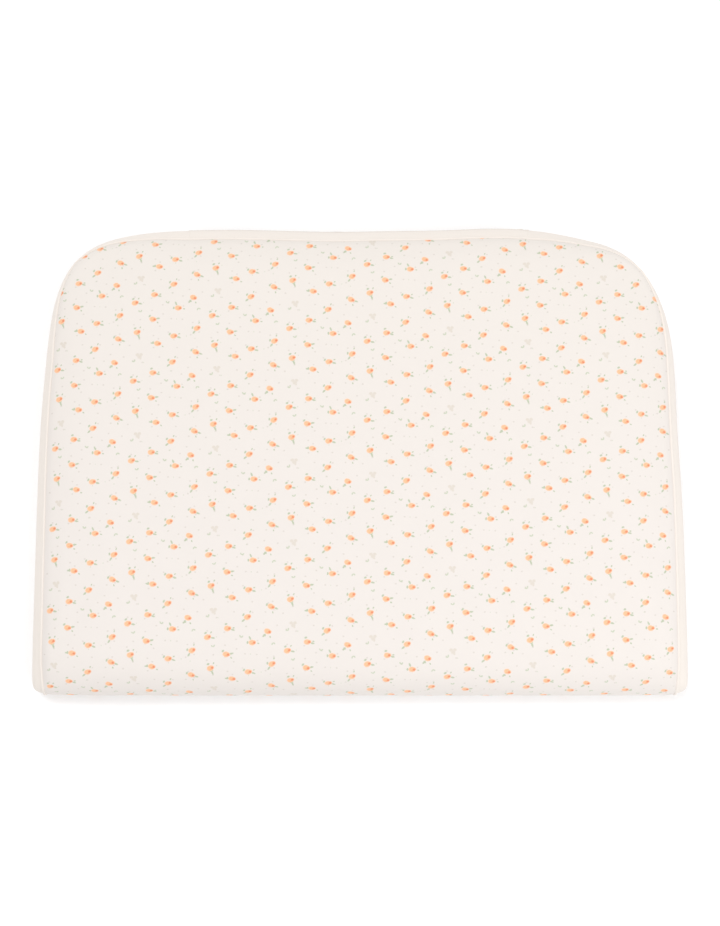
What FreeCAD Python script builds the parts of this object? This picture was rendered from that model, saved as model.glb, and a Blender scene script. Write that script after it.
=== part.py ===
import FreeCAD, Part
import math
import os

# Padded changing pad: a foam cushion with a wide, soft-cornered rear edge and a rolled front edge, in a
# zip-off cover. The printed top panel runs over the front roll to the base. A plain band with a piped top
# seam goes round the sides and the rear, where the zip is.
# Frame: +X to the right, +Y to the rear, +Z up. Origin on the ground at the middle of the whole pad's box.

Vector = FreeCAD.Vector

# The cushion, over its cover
pad_width = 700.0
pad_depth = 515.0
pad_height = 62.0
seam_height = 48.0  # piped seam above the ground, along the sides and the rear
mid_band = 24.0  # height at which the band stands furthest out, and the zip's centre line
base_seam_height = 3.0
side_bulge = 13.0  # how far the sides stand out past the piped seam
rear_bulge = 14.0
wall_power = 3  # the band is flat about its widest line and curves in towards its seams
base_tuck = 10.0  # how far the wall draws in under its widest line, down to the ground
crown_run = 95.0  # from the piped seam inwards to the flat of the top
front_roll = 45.0  # from the front edge back to the flat of the top
front_nose_height = 20.0
front_corner_radius = 8.0
rear_corner_reach_x = 200.0
rear_corner_reach_y = pad_depth / 2
rear_corner_power = 3.7  # exponent of the superellipse: 2 is an ellipse, more is squarer
corner_points = 9
front_seam_inset = 3.0  # the band's front seam, back from the front edge
front_seam_run = 60.0  # length over which the piped seam bends down at the front
section_heights = [0, 1, 3, 8, 15, 24, 33, 41, 48, 52, 56, 59, 61, 61.8, 62]  # closer where it curves

# Layers
cover_thickness = 1.2
piping_proud = 1.5
piping_width = 3.0
case_clearance = 4.6  # from the cover's outside to the inner case at the wall, where the slider runs
case_clearance_flat = 1.5  # the same above and below
case_thickness = 0.6
filling_gap = 0.2
wadding_height = 10.0

# Zip
zip_half_length = 188.0
zip_opening = 11.6  # clear height between the folded edges of the two zip strips
tape_width = 8.2
tape_thickness = 0.5
tape_depth = 2.5  # the tape's outer face, in from the band's widest line
tape_gap = 2.6
coil_width = 2.6
coil_height = 1.7
coil_gap = 0.1
coil_half_length = 180.0
coil_in_slider = 4.0  # how far the closed coils reach into the slider's mouth
slider_length = 11.0
slider_width = 8.6
slider_plate = 1.0
slider_clearance = 0.4
slider_lip = 0.8
slider_lip_setback = 1.5
slider_tail_share = 0.8  # width of the plates at the tail, as a share of their full width
slider_corner_radius = 1.6
post_length = 3.0
post_width = 1.9
slider_rest_x = 178.0
bridge_length = 8.2
bridge_leg = 1.2
bridge_width = 2.0
bridge_opening = 1.9
bridge_bar = 0.9
bridge_corner_radius = 1.4
pull_pin_radius = 0.55
pull_thickness = 1.0
pull_length = 26.0
pull_width = 6.4
pull_slot = 2.8
pull_slot_length = 5.4
pull_tip_radius = 2.9
stop_length = 2.4

# Blank care label, sewn in the base seam under the zip
label_width = 30.0
label_left = -150.0
label_height = 13.0
label_thickness = 0.6
label_gap = 0.2

# Places along Y, with the box of the whole pad centred on the origin
outer_plate_top = -tape_depth + coil_height + slider_clearance + slider_plate
zip_proud = outer_plate_top + bridge_opening + bridge_bar
front_y = -(pad_depth + zip_proud) / 2
rear_y = front_y + pad_depth
reach = pad_width  # larger than the pad in every direction, for cutting tools


def wall_inset(z, bulge):
    """How far the side or rear wall lies inside its widest line at height z."""
    if z > seam_height:
        rise = min(1.0, (z - seam_height) / (pad_height - seam_height))
        return bulge + crown_run * (1 - math.sqrt(1 - rise**2))
    if z > mid_band:
        return bulge * ((z - mid_band) / (seam_height - mid_band)) ** wall_power
    return base_tuck * ((mid_band - z) / mid_band) ** wall_power


def front_inset(z):
    """How far the front roll lies behind the front edge at height z."""
    if z > front_nose_height:
        rise = min(1.0, (z - front_nose_height) / (pad_height - front_nose_height))
        return front_roll * (1 - math.sqrt(1 - rise**2))
    return base_tuck * ((front_nose_height - z) / front_nose_height) ** wall_power


def rear_corner(half_x, rear, side):
    """Superellipse corner as one smooth edge, clockwise: side is 1 on the right and -1 on the left."""
    centre_x = pad_width / 2 - rear_corner_reach_x
    centre_y = rear_y - rear_corner_reach_y
    points = []
    for n in range(corner_points):
        turn = math.pi / 2 * n / (corner_points - 1)
        x = centre_x + (half_x - centre_x) * math.sin(turn) ** (2 / rear_corner_power)
        y = centre_y + (rear - centre_y) * round(math.cos(turn), 12) ** (2 / rear_corner_power)
        points.append(Vector(side * x, y, 0))
    along_rear = Vector(1, 0, 0)
    along_side = Vector(0, -side, 0)
    tangents = [along_rear, along_side][::side]
    corner = Part.BSplineCurve()
    corner.interpolate(points[::side], InitialTangent=tangents[0], FinalTangent=tangents[1])
    return corner.toShape()


def outline(z, wall, flat):
    """Closed outline at height z of a cushion drawn in by wall all round and by flat above and below."""
    level = (z - flat) * pad_height / (pad_height - 2 * flat)
    half_x = pad_width / 2 - wall_inset(level, side_bulge) - wall
    rear = rear_y - wall_inset(level, rear_bulge) - wall
    front = front_y + front_inset(level) + wall
    centre_y = rear_y - rear_corner_reach_y
    centre_x = pad_width / 2 - rear_corner_reach_x
    r = front_corner_radius
    bend = r * (1 - math.sqrt(0.5))
    edges = [
        Part.makeLine(Vector(-centre_x, rear, 0), Vector(centre_x, rear, 0)),
        rear_corner(half_x, rear, 1),
        Part.makeLine(Vector(half_x, centre_y, 0), Vector(half_x, front + r, 0)),
        Part.Arc(
            Vector(half_x, front + r, 0), Vector(half_x - bend, front + bend, 0), Vector(half_x - r, front, 0)
        ).toShape(),
        Part.makeLine(Vector(half_x - r, front, 0), Vector(r - half_x, front, 0)),
        Part.Arc(
            Vector(r - half_x, front, 0), Vector(bend - half_x, front + bend, 0), Vector(-half_x, front + r, 0)
        ).toShape(),
        Part.makeLine(Vector(-half_x, front + r, 0), Vector(-half_x, centre_y, 0)),
        rear_corner(half_x, rear, -1),
    ]
    wire = Part.Wire(edges)
    wire.translate(Vector(0, 0, z))
    return wire


def cushion(wall, flat):
    """The cushion's whole form, drawn in by wall round its edge and by flat above and below."""
    span = pad_height - 2 * flat
    wires = [outline(flat + height / pad_height * span, wall, flat) for height in section_heights]
    return Part.makeLoft(wires, True, True)


def block(x0, x1, y0, y1, z0, z1):
    return Part.makeBox(x1 - x0, y1 - y0, z1 - z0, Vector(x0, y0, z0))


def under_seam(lift):
    """Everything below the piped seam, which runs level along the side and bends down behind the front edge."""
    front = front_y + front_seam_inset - lift
    top = seam_height + lift
    nose = front_nose_height
    points = []
    for n in range(corner_points):
        turn = math.pi / 2 * n / (corner_points - 1)
        y = front + front_seam_run * (1 - math.cos(turn))
        points.append(Vector(-reach, y, nose + (top - nose) * math.sin(turn)))
    curve = Part.BSplineCurve()
    curve.interpolate(points, InitialTangent=Vector(0, 0, 1), FinalTangent=Vector(0, 1, 0))
    floor = base_seam_height
    edges = [
        Part.makeLine(Vector(-reach, front, floor), Vector(-reach, front, nose)),
        curve.toShape(),
        Part.makeLine(points[-1], Vector(-reach, reach, top)),
        Part.makeLine(Vector(-reach, reach, top), Vector(-reach, reach, floor)),
        Part.makeLine(Vector(-reach, reach, floor), Vector(-reach, front, floor)),
    ]
    return Part.Face(Part.Wire(edges)).extrude(Vector(2 * reach, 0, 0))


def along_seam(width):
    """The strip of space of this width along the piped seam, centred on it."""
    return under_seam(width / 2).cut(under_seam(-width / 2))


# Cover: one skin, parted along its seams
skin = cushion(0, 0).cut(cushion(cover_thickness, cover_thickness))
below_base_seam = block(-reach, reach, -reach, reach, -reach, base_seam_height)
band = skin.common(under_seam(0))
left_of_zip = block(-reach, -zip_half_length, -reach, reach, 0, reach)
right_of_zip = block(zip_half_length, reach, -reach, reach, 0, reach)
above_zip = block(-zip_half_length, zip_half_length, 0, reach, mid_band + zip_opening / 2, reach)
below_zip = block(-zip_half_length, zip_half_length, 0, reach, 0, mid_band - zip_opening / 2)
top_panel = skin.cut(under_seam(0)).cut(below_base_seam)
piping_ring = cushion(-piping_proud, -piping_proud).cut(cushion(0, 0))
label_ring = cushion(-label_gap - label_thickness, 0).cut(cushion(-label_gap, 0))
label_box = block(
    label_left, label_left + label_width, 0, reach, base_seam_height, base_seam_height + label_height
)

# Filling: a foam block between two layers of wadding, in a coated two-part inner case
case_skin = cushion(case_clearance, case_clearance_flat).cut(
    cushion(case_clearance + case_thickness, case_clearance_flat + case_thickness)
)
filling = cushion(
    case_clearance + case_thickness + filling_gap, case_clearance_flat + case_thickness + filling_gap
)
below_core = block(-reach, reach, -reach, reach, -reach, wadding_height)
above_core = block(-reach, reach, -reach, reach, pad_height - wadding_height, reach)


# Zip: two tapes behind the slit, a coil along the edge of each, stops at both ends and one slider
def tape(side):
    """One zip tape: side is 1 above the zip's centre line and -1 below it."""
    near = mid_band + side * tape_gap / 2
    far = near + side * tape_width
    y = rear_y - tape_depth
    return block(
        -zip_half_length, zip_half_length, y - tape_thickness, y, min(near, far), max(near, far)
    )


def coil(side):
    """One closed coil, on the outer face of its tape, from the bottom stop to the slider's mouth."""
    near = mid_band + side * coil_gap / 2
    far = near + side * coil_width
    y = rear_y - tape_depth
    end = slider_rest_x - slider_length / 2 + coil_in_slider
    return block(-coil_half_length, end, y, y + coil_height, min(near, far), max(near, far))


def stops():
    """Two top stops past the slider, one on each tape's edge, and one bottom stop across both tapes."""
    y0 = rear_y - tape_depth
    y1 = y0 + coil_height
    top = slider_rest_x + slider_length / 2 + slider_clearance
    near = tape_gap / 2 + slider_clearance
    far = near + coil_width
    bottom = -coil_half_length - slider_clearance
    return Part.makeCompound(
        [
            block(top, top + stop_length, y0, y1, mid_band + near, mid_band + far),
            block(top, top + stop_length, y0, y1, mid_band - far, mid_band - near),
            block(bottom - stop_length, bottom, y0, y1, mid_band - far, mid_band + far),
        ]
    )


def plate(y0, y1):
    """One of the slider's two plates, rounded at its corners and narrowed towards the tail."""
    x0 = slider_rest_x - slider_length / 2
    x1 = slider_rest_x + slider_length / 2
    half = slider_width / 2
    tail = half * slider_tail_share
    corners = [
        Vector(x0, y0, mid_band - tail),
        Vector(x1, y0, mid_band - half),
        Vector(x1, y0, mid_band + half),
        Vector(x0, y0, mid_band + tail),
    ]
    solid = Part.Face(Part.makePolygon(corners + corners[:1])).extrude(Vector(0, y1 - y0, 0))
    upright = [e for e in solid.Edges if abs(e.tangentAt(e.FirstParameter).y) > 0.99]
    return solid.makeFillet(slider_corner_radius, upright)


def slider():
    """Two plates joined by a post at the open end, two lips that keep the coils in, and the pull's bridge."""
    tape_y = rear_y - tape_depth
    outer_y0 = tape_y + coil_height + slider_clearance
    outer_y1 = outer_y0 + slider_plate
    inner_y1 = tape_y - tape_thickness - slider_clearance
    inner_y0 = inner_y1 - slider_plate
    body = plate(outer_y0, outer_y1).fuse(plate(inner_y0, inner_y1))
    post_x = slider_rest_x + slider_length / 2 - post_length
    body = body.fuse(
        block(
            post_x,
            post_x + post_length - slider_clearance,
            inner_y1 - slider_plate / 2,
            outer_y0 + slider_plate / 2,
            mid_band - post_width / 2,
            mid_band + post_width / 2,
        )
    )
    lip_y0 = tape_y + slider_clearance
    lip_x0 = slider_rest_x - slider_length / 2 + slider_lip_setback
    lip_x1 = slider_rest_x + slider_length / 2 - slider_lip_setback
    for side in (1, -1):
        inner = mid_band + side * (coil_width + coil_gap / 2 + slider_clearance / 2)
        outer = inner + side * slider_lip
        body = body.fuse(
            block(lip_x0, lip_x1, lip_y0, outer_y0 + slider_plate / 2, min(inner, outer), max(inner, outer))
        )
    half = bridge_length / 2
    half_width = bridge_width / 2
    arch = block(
        slider_rest_x - half,
        slider_rest_x + half,
        outer_y1 - slider_plate / 2,
        outer_y1 + bridge_opening + bridge_bar,
        mid_band - half_width,
        mid_band + half_width,
    )
    rounded = [
        e
        for e in arch.Edges
        if abs(e.tangentAt(e.FirstParameter).z) > 0.99 and e.BoundBox.YMin > outer_y1 + bridge_opening
    ]
    arch = arch.makeFillet(bridge_corner_radius, rounded)
    arch = arch.cut(
        block(
            slider_rest_x - half + bridge_leg,
            slider_rest_x + half - bridge_leg,
            outer_y1,
            outer_y1 + bridge_opening,
            mid_band - half_width,
            mid_band + half_width,
        )
    )
    return body.fuse(arch).removeSplitter()


def pull():
    """The pull: a flat tab with a slot at its head, and the round pin that crosses under the bridge."""
    pin_y = rear_y + outer_plate_top + slider_clearance + pull_pin_radius
    x_head = slider_rest_x + pull_pin_radius
    x_tip = x_head - pull_length
    half = pull_width / 2
    tab = block(
        x_tip, x_head, pin_y - pull_thickness / 2, pin_y + pull_thickness / 2, mid_band - half, mid_band + half
    )
    upright = [
        e for e in tab.Edges if abs(e.tangentAt(e.FirstParameter).y) > 0.99 and e.BoundBox.XMax < x_tip + 1
    ]
    tab = tab.makeFillet(pull_tip_radius, upright)
    slot_half = pull_slot / 2
    slot = block(
        slider_rest_x - pull_slot_length,
        x_head + pull_thickness,
        pin_y - pull_thickness,
        pin_y + pull_thickness,
        mid_band - slot_half,
        mid_band + slot_half,
    )
    pin = Part.makeCylinder(
        pull_pin_radius, pull_slot, Vector(slider_rest_x, pin_y, mid_band - slot_half), Vector(0, 0, 1)
    )
    return tab.cut(slot).fuse(pin)


nodes = {
    "top_panel": top_panel,
    "piping": piping_ring.common(along_seam(piping_width)),
    "side_band_left": band.common(left_of_zip),
    "side_band_right": band.common(right_of_zip),
    "zip_strip_upper": band.common(above_zip),
    "zip_strip_lower": band.common(below_zip),
    "base_panel": skin.common(below_base_seam),
    "care_label": label_ring.common(label_box),
    "zip_tape_upper": tape(1),
    "zip_tape_lower": tape(-1),
    "zip_coil_upper": coil(1),
    "zip_coil_lower": coil(-1),
    "zip_stops": stops(),
    "zip_slider": slider(),
    "zip_pull": pull(),
    "inner_case_top": case_skin.cut(block(-reach, reach, -reach, reach, -reach, mid_band)),
    "inner_case_base": case_skin.cut(block(-reach, reach, -reach, reach, mid_band, reach)),
    "wadding_top": filling.common(above_core),
    "foam_core": filling.cut(above_core).cut(below_core),
    "wadding_base": filling.common(below_core),
}

os.makedirs("parts", exist_ok=True)
whole = FreeCAD.BoundBox()
for name, shape in nodes.items():
    shape.exportStep(f"parts/{name}.step")
    box = shape.BoundBox
    whole.add(box)
    print(
        f"{name:16s} solids {len(shape.Solids)} valid {shape.isValid()} volume {shape.Volume / 1000:9.2f} cm3 "
        f"x {box.XMin:.1f} {box.XMax:.1f} y {box.YMin:.1f} {box.YMax:.1f} z {box.ZMin:.1f} {box.ZMax:.1f}"
    )
print(f"whole {whole.XLength:.1f} x {whole.YLength:.1f} x {whole.ZLength:.1f} mm")
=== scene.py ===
import math
from functools import partial

import bmesh
import bpy
import numpy as np
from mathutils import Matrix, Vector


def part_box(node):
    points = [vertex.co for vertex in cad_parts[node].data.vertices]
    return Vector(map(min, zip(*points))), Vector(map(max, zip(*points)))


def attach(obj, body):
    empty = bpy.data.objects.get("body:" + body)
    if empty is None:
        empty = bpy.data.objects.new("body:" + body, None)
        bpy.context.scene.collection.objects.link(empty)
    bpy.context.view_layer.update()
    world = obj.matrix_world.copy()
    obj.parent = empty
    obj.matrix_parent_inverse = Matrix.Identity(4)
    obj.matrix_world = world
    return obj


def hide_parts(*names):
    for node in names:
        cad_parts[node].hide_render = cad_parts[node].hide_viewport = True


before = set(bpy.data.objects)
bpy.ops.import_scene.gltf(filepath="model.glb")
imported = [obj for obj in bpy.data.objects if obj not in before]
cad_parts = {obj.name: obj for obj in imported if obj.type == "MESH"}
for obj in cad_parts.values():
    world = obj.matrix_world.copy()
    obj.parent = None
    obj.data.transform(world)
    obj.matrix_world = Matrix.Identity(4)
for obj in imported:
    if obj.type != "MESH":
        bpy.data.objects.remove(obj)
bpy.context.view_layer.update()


# ---------------------------------------------------------------------------------------------------
# The table top, the soft studio light and the camera. The pad lies on a plain white light table, which
# glows a little, in a bright white room. A large softbox high behind it throws the short shadow, and two
# small ones near the front right corner fill in.

def new_material(name, settings):
    """A material with these settings on its shader, and the node tree to build the rest of it in."""
    material = bpy.data.materials.new(name)
    material.use_nodes = True
    shader = material.node_tree.nodes["Principled BSDF"]
    for label, value in settings.items():
        shader.inputs[label].default_value = value
    return material, material.node_tree, shader


def mesh_piece(name, points, faces, smooth=True):
    mesh = bpy.data.meshes.new(name)
    mesh.from_pydata([tuple(map(float, p)) for p in points], [], [tuple(map(int, f)) for f in faces])
    mesh.polygons.foreach_set("use_smooth", [smooth] * len(mesh.polygons))
    mesh.update()
    piece = bpy.data.objects.new(name, mesh)
    bpy.context.scene.collection.objects.link(piece)
    return piece


def aim(thing, place, target):
    thing.location = place
    toward = np.array(target) - np.array(place)
    flat = math.hypot(toward[0], toward[1])
    thing.rotation_euler = (math.atan2(flat, -toward[2]), 0, math.atan2(-toward[0], toward[1]))


floor_half = 6.0
floor_corners = [(x * floor_half, y * floor_half, 0) for x, y in ((-1, -1), (1, -1), (1, 1), (-1, 1))]
floor = mesh_piece("floor", floor_corners, [(0, 1, 2, 3)], smooth=False)
white_table, _, _ = new_material(
    "white_table",
    {
        "Base Color": (0.92, 0.92, 0.925, 1),
        "Roughness": 0.9,
        "Emission Color": (1, 1, 1, 1),
        "Emission Strength": 0.07,
    },
)
floor.data.materials.append(white_table)

world = bpy.data.worlds.new("white_room")
world.use_nodes = True
world.node_tree.nodes["Background"].inputs["Color"].default_value = (1, 1, 1, 1)
world.node_tree.nodes["Background"].inputs["Strength"].default_value = 0.725
bpy.context.scene.world = world


def softbox(name, place, target, size, power):
    light = bpy.data.lights.new(name, "AREA")
    light.shape = "RECTANGLE"
    light.size, light.size_y = size
    light.energy = power
    lamp = bpy.data.objects.new(name, light)
    bpy.context.scene.collection.objects.link(lamp)
    aim(lamp, place, target)


softbox("key_softbox", (-1.6, 2.0, 6.0), (0, 0, 0), (2.4, 2.4), 132)
softbox("fill_softbox", (0.9, -0.7, 1.9), (0.1, -0.05, 0), (1.2, 1.2), 7.7)
softbox("front_softbox", (1.3, -1.6, 1.2), (0.1, -0.05, 0), (1.2, 1.2), 6.5)

camera_distance = 1.93
camera_tilt = math.radians(10)  # off straight down, towards the front edge
aim_point = (0.0, -0.0058, 0.024)
camera_data = bpy.data.cameras.new("camera")
camera_data.sensor_fit = "VERTICAL"
camera_data.sensor_height = 36
camera_data.lens = 68.75
camera = bpy.data.objects.new("camera", camera_data)
bpy.context.scene.collection.objects.link(camera)
eye = (
    aim_point[0],
    aim_point[1] - camera_distance * math.sin(camera_tilt),
    aim_point[2] + camera_distance * math.cos(camera_tilt),
)
aim(camera, eye, aim_point)
bpy.context.scene.camera = camera
bpy.context.scene.view_settings.view_transform = "Standard"


# ---------------------------------------------------------------------------------------------------
# The form that every layer of the pad is cut to: straight sides, a straight front edge and two wide
# rear corners. The foam, the wadding, the inner case and the cover are all made on it, one inside
# the other.

front_set_back = 0.0018  # the filled roll swells out by about this much
half_width = float(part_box("side_band_right")[1][0])
front_y = float(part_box("top_panel")[0][1]) + front_set_back
rear_y = float(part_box("zip_strip_upper")[1][1])
pad_height = float(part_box("top_panel")[1][2])
seam_height = float(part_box("side_band_right")[1][2])
base_seam_height = float(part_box("side_band_right")[0][2])
mid_band = (float(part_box("zip_slider")[0][2]) + float(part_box("zip_slider")[1][2])) / 2
corner_reach_x = 0.200
corner_reach_y = (rear_y - front_y) / 2
corner_power_left = 4.1  # 2 is an ellipse, and more is squarer
corner_power_right = 3.4
corner_steps = 240
straight_steps = 60
wall_power = 3
side_bulge = 0.013  # how far the wall stands out past the piped seam
side_bulge_end = 0.36  # along the wall, where it starts to flatten towards the rear corner
late_bulge = 0.8  # what is left of it there
corner_bulge = 0.006
rear_bulge = 0.0155
base_tuck = 0.010
front_corner = 0.040
front_corner_reach = 0.006
front_roll = 0.045
front_nose_height = 0.020
front_seam_inset = 0.0015
front_seam_run = 0.058
crown_run = 0.085
crown_power = 2.6
base_run = 0.012
across, along, up_band = 118, 98, 9  # cells of cloth across the pad, along it and up the band


def lengths(line):
    return np.concatenate([[0], np.cumsum(np.linalg.norm(np.diff(line, axis=0), axis=1))])


def front_inset(z):
    return np.clip((front_nose_height - z) / front_nose_height, 0, 1) ** wall_power * base_tuck


# The wall's widest line in plan, from the front left corner round the rear to the front right corner
def rear_corner(side, power):
    turn = np.linspace(0, np.pi / 2, corner_steps)
    x = half_width - corner_reach_x + corner_reach_x * np.cos(turn) ** (2 / power)
    y = rear_y - corner_reach_y + corner_reach_y * np.sin(turn) ** (2 / power)
    return np.column_stack([side * x, y])[::-side]


left_corner = rear_corner(-1, corner_power_left)
right_corner = rear_corner(1, corner_power_right)
rear_x = np.linspace(-half_width + corner_reach_x, half_width - corner_reach_x, straight_steps)
side_y = np.linspace(front_y, rear_y - corner_reach_y, straight_steps)
widest = np.concatenate(
    [
        np.column_stack([np.full(straight_steps - 1, -half_width), side_y[:-1]]),
        left_corner,
        np.column_stack([rear_x[1:-1], np.full(straight_steps - 2, rear_y)]),
        right_corner,
        np.column_stack([np.full(straight_steps - 1, half_width), side_y[-2::-1]]),
    ]
)


def along_wall(line):
    """Lengths along the line, and its unit tangents."""
    way = lengths(line)
    step = np.gradient(line, way, axis=0)
    return way, step / np.linalg.norm(step, axis=1)[:, None]


# The cover draws the outline in between each side and its rear corner, and the zip stands it out
_, tangent = along_wall(widest)
drawn_in = [  # x, y, how far in, over what distance
    (-half_width, 0.120, 0.0038, 0.080),
    (half_width, 0.050, 0.0036, 0.080),
    (0.248, rear_y, 0.0034, 0.038),
    (-0.262, rear_y, 0.0014, 0.040),
    (0.150, rear_y, -0.0026, 0.048),
    (-0.145, rear_y, -0.0012, 0.050),
    (-0.025, rear_y, 0.0012, 0.050),
]
for x, y, depth, reach in drawn_in:
    near = np.exp(-((np.hypot(widest[:, 0] - x, widest[:, 1] - y) / reach) ** 2))
    widest = widest - np.column_stack([-tangent[:, 1], tangent[:, 0]]) * (depth * near)[:, None]
widest_length, tangent = along_wall(widest)
wall_length = widest_length[-1]
left_diagonal = widest_length[straight_steps - 1 + corner_steps // 2]
right_diagonal = widest_length[2 * straight_steps - 3 + corner_steps * 3 // 2]
zip_half = float(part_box("zip_tape_upper")[1][0])
rear_middle = (left_diagonal + right_diagonal) / 2
bulge_places = [0, side_bulge_end, left_diagonal, rear_middle - zip_half, rear_middle + zip_half]
bulge_places += [right_diagonal, wall_length - side_bulge_end, wall_length]
bulge_sizes = [side_bulge, side_bulge * late_bulge, corner_bulge, rear_bulge, rear_bulge]
bulge_sizes += [corner_bulge, side_bulge * late_bulge, side_bulge]


def distance_to(points, line, batch=8):
    """How far each point of a flat grid lies from a line, worked out a few pieces of line at a time."""
    flat = points.reshape(-1, 2)
    nearest = np.full(len(flat), np.inf)
    for start in range(0, len(line) - 1, batch):
        a = line[start : start + batch]
        b = line[start + 1 : start + batch + 1]
        a = a[: len(b)]
        step = b - a
        share = ((flat[:, None] - a) * step).sum(2) / np.maximum((step**2).sum(1), 1e-12)
        gap = flat[:, None] - a - np.clip(share, 0, 1)[..., None] * step
        nearest = np.minimum(nearest, np.sqrt((gap**2).sum(2)).min(1))
    return nearest.reshape(points.shape[:-1])


def wall_point(s, z, below_seam):
    """Points of the wall, s along it and z up. The wall stands out between its seams, so its inset
    follows from how far below the piped seam a point lies and how near the ground."""
    x = np.interp(s, widest_length, widest[:, 0])
    y = np.interp(s, widest_length, widest[:, 1])
    out_x = -np.interp(s, widest_length, tangent[:, 1])
    out_y = np.interp(s, widest_length, tangent[:, 0])
    bulge = np.interp(s, bulge_places, bulge_sizes)
    from_front = np.minimum(s, wall_length - s)
    reach = np.interp(from_front, [0, front_corner], [front_corner_reach, seam_height - mid_band])
    at_seam = np.clip(1 - below_seam / reach, 0, 1) ** wall_power * bulge
    at_foot = np.clip(1 - z / mid_band, 0, 1) ** wall_power * base_tuck
    inset = np.maximum(at_seam, at_foot)
    return np.column_stack([x - out_x * inset, y - out_y * inset, z])


# The middle line of the top panel, from the base seam up round the front roll to the flat of the top,
# and the piped seam beside it, which bends down to the base behind the front edge
def front_line(front, run, top):
    foot_z = np.linspace(base_seam_height, front_nose_height, 30)
    foot = np.column_stack([front + front_inset(foot_z), foot_z])
    turn = np.radians(np.linspace(0, 90, 60))
    bend_z = front_nose_height + (top - front_nose_height) * np.sin(turn)
    bend = np.column_stack([front + run - run * np.cos(turn), bend_z])
    return np.concatenate([foot, bend[1:]])


roll_end = front_y + front_seam_inset + front_seam_run
middle_line = front_line(front_y, front_roll, pad_height)
middle_line = np.concatenate([middle_line, [[roll_end, pad_height]]])
bent_line = front_line(front_seam_inset, front_seam_run, seam_height)
middle_length, bent_length = lengths(middle_line), lengths(bent_line)
roll_length = middle_length[-1]

# Stations along the piped seam: up each bent end, and evenly along the wall between them
bent_stations = 17
bent_end = front_seam_inset + front_seam_run
straight_left = np.linspace(bent_end, left_diagonal, along - bent_stations + 1)
straight_right = np.linspace(right_diagonal, wall_length - bent_end, along - bent_stations + 1)
rear_stations = np.linspace(left_diagonal, right_diagonal, across + 1)
bent_q = np.linspace(0, bent_length[-1], bent_stations + 1)
bent_s = np.interp(bent_q, bent_length, bent_line[:, 0])
bent_z = np.interp(bent_q, bent_length, bent_line[:, 1])
seam_s = np.concatenate(
    [bent_s, straight_left[1:], rear_stations[1:], straight_right[1:], wall_length - bent_s[-2::-1]]
)
seam_z = np.concatenate([bent_z, np.full(len(seam_s) - 2 * len(bent_z), seam_height), bent_z[::-1]])
foot_s = seam_s.copy()
foot_s[: bent_stations + 1] = np.interp(bent_q, [0, bent_length[-1]], [bent_s[0], bent_s[-1]])
foot_s[-bent_stations - 1 :] = wall_length - foot_s[bent_stations::-1]
stations = len(seam_s)

band_points = np.zeros((stations, up_band + 1, 3))
for row in range(up_band + 1):
    share = row / up_band
    s = foot_s + share * (seam_s - foot_s)
    height = base_seam_height + share * (seam_z - base_seam_height)
    below_seam = distance_to(np.column_stack([s, height]), np.column_stack([seam_s, seam_z]))
    band_points[:, row] = wall_point(s, height, below_seam)
piped_seam = band_points[:, -1]
foot_seam = band_points[:, 0]


def patch(left, rear, right, front):
    """Fills four edges with a grid: left and right run to the rear, front and rear run to the right."""
    i = np.linspace(0, 1, across + 1)[None, :, None]
    j = np.linspace(0, 1, along + 1)[:, None, None]
    ruled = (1 - i) * left[:, None] + i * right[:, None] + (1 - j) * front[None] + j * rear[None]
    corners = (1 - i) * (1 - j) * front[0] + i * (1 - j) * front[-1]
    corners = corners + (1 - i) * j * rear[0] + i * j * rear[-1]
    return ruled - corners


def rounded(distance, run, power):
    """Rises from 0 at a seam to 1 at run inside it, steeply at first."""
    return (1 - np.clip(1 - distance / run, 0, 1) ** power) ** (1 / power)


# The top panel, laid out flat (x across, v along the cloth from the base seam at the front), then lifted
seam_v = roll_length + piped_seam[:, 1] - roll_end
seam_v[: bent_stations + 1] = bent_q * roll_length / bent_length[-1]
seam_v[-bent_stations - 1 :] = seam_v[bent_stations::-1]
seam_flat = np.column_stack([piped_seam[:, 0], seam_v])
left_flat, right_flat = seam_flat[: along + 1], seam_flat[: -along - 2 : -1]
rear_flat = seam_flat[along : along + across + 1]
front_x = np.linspace(left_flat[0, 0], right_flat[0, 0], across + 1)
top_flat = patch(left_flat, rear_flat, right_flat, np.column_stack([front_x, np.zeros(across + 1)]))
top_rise = rounded(distance_to(top_flat, seam_flat), crown_run, crown_power)
v = top_flat[..., 1]
bent_share = v / roll_length * bent_length[-1]
behind = np.maximum(v - roll_length, 0)
seam_yz = [np.interp(bent_share, bent_q, piped_seam[: bent_stations + 1, n]) for n in (1, 2)]
middle_yz = [np.interp(v, middle_length, middle_line[:, n]) for n in (0, 1)]
top_points = np.stack(
    [
        top_flat[..., 0],
        seam_yz[0] + top_rise * (middle_yz[0] - seam_yz[0]) + behind,
        seam_yz[1] + top_rise * (middle_yz[1] - seam_yz[1]),
    ],
    axis=-1,
)

# The base panel: flat on the ground, rounded up to its seam
foot_flat = foot_seam[:, :2]
front_edge = top_points[0, :, :2]
base_flat = patch(
    foot_flat[: along + 1], foot_flat[along : along + across + 1], foot_flat[: -along - 2 : -1], front_edge
)
base_rise = rounded(distance_to(base_flat, np.concatenate([foot_flat, front_edge[::-1]])), base_run, 2)
base_points = np.concatenate([base_flat, base_seam_height * (1 - base_rise)[..., None]], axis=-1)


# All the panels share their seam points, so that the cover is one closed skin while it is filled out
def quads(ids):
    a, b, c, d = ids[:-1, :-1], ids[:-1, 1:], ids[1:, 1:], ids[1:, :-1]
    return np.stack([a, b, c, d], axis=-1).reshape(-1, 4)


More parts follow.
